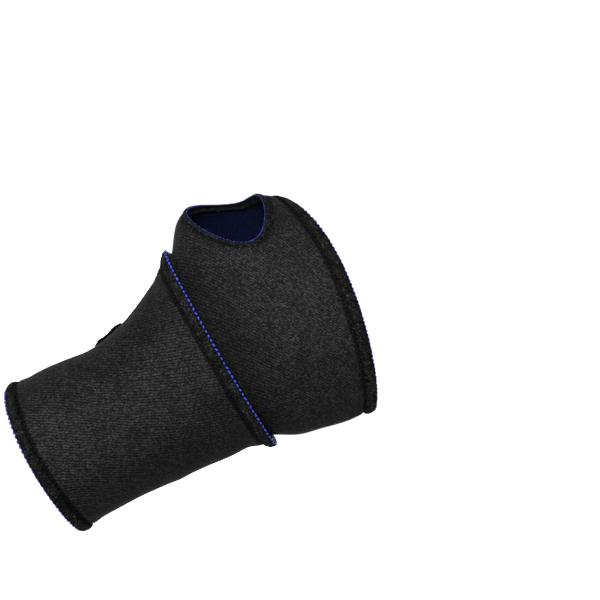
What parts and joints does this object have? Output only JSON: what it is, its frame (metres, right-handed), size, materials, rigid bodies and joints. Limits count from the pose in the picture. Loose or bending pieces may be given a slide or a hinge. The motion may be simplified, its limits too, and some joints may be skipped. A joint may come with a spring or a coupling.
{
  "type": "wrist support brace",
  "caption": "Neoprene wrap that supports the wrist and hand. It has a thumb hole, winds round the wrist over itself, and closes with a hook-and-loop tab on the back.",
  "frame": {"origin": "middle of the forearm opening, in the plane of the wrap's lower edge on which it stands", "axes": "+Z along the forearm towards the fingers, +X towards the little finger, +Y towards the back of the hand; the palm faces -Y and the thumb -X"},
  "size_m": [0.1144, 0.0642, 0.152],
  "materials": {
    "neoprene_foam": "closed-cell foam, matte",
    "black_knit": "fine ribbed jersey, dull",
    "blue_lining": "smooth jersey, dull",
    "black_overlock": "dense woolly thread",
    "blue_thread": "polyester thread, soft sheen",
    "black_stitching": "polyester thread",
    "loop_pile": "brushed loop pile",
    "hook_plastic": "moulded hook tape"
  },
  "bodies": {
    "brace": {"brace_core": "neoprene_foam", "brace_facing": "black_knit", "brace_lining": "blue_lining", "distal_edge_overlock": "black_overlock", "proximal_edge_overlock": "black_overlock", "hand_end_overlock": "black_overlock", "thumb_hole_overlock": "black_overlock", "distal_edge_thread": "blue_thread", "proximal_edge_thread": "blue_thread", "hand_end_thread": "blue_thread", "thumb_hole_thread": "blue_thread", "loop_patch": "loop_pile", "loop_patch_stitching": "black_stitching"},
    "flap": {"flap_core": "neoprene_foam", "flap_facing": "black_knit", "flap_lining": "blue_lining", "flap_distal_overlock": "black_overlock", "flap_proximal_overlock": "black_overlock", "flap_distal_thread": "blue_thread", "flap_proximal_thread": "blue_thread"},
    "tab": {"tab_core": "neoprene_foam", "tab_facing": "black_knit", "tab_lining": "blue_lining", "tab_distal_overlock": "black_overlock", "tab_proximal_overlock": "black_overlock", "tab_end_overlock": "black_overlock", "tab_distal_thread": "blue_thread", "tab_proximal_thread": "blue_thread", "tab_end_thread": "blue_thread", "hook_strip": "hook_plastic", "hook_strip_stitching": "black_stitching"}
  },
  "joints": [
    {"name": "flap_hinge", "type": "hinge", "parent": "brace", "child": "flap", "pos_m": [0.0282, 0.0236, 0.044], "axis": [0, 0, -1], "range_deg": [0, 130]},
    {"name": "tab_peel", "type": "hinge", "parent": "flap", "child": "tab", "pos_m": [-0.0083, 0.0344, 0.044], "axis": [0, 0, -1], "range_deg": [0, 80]}
  ]
}
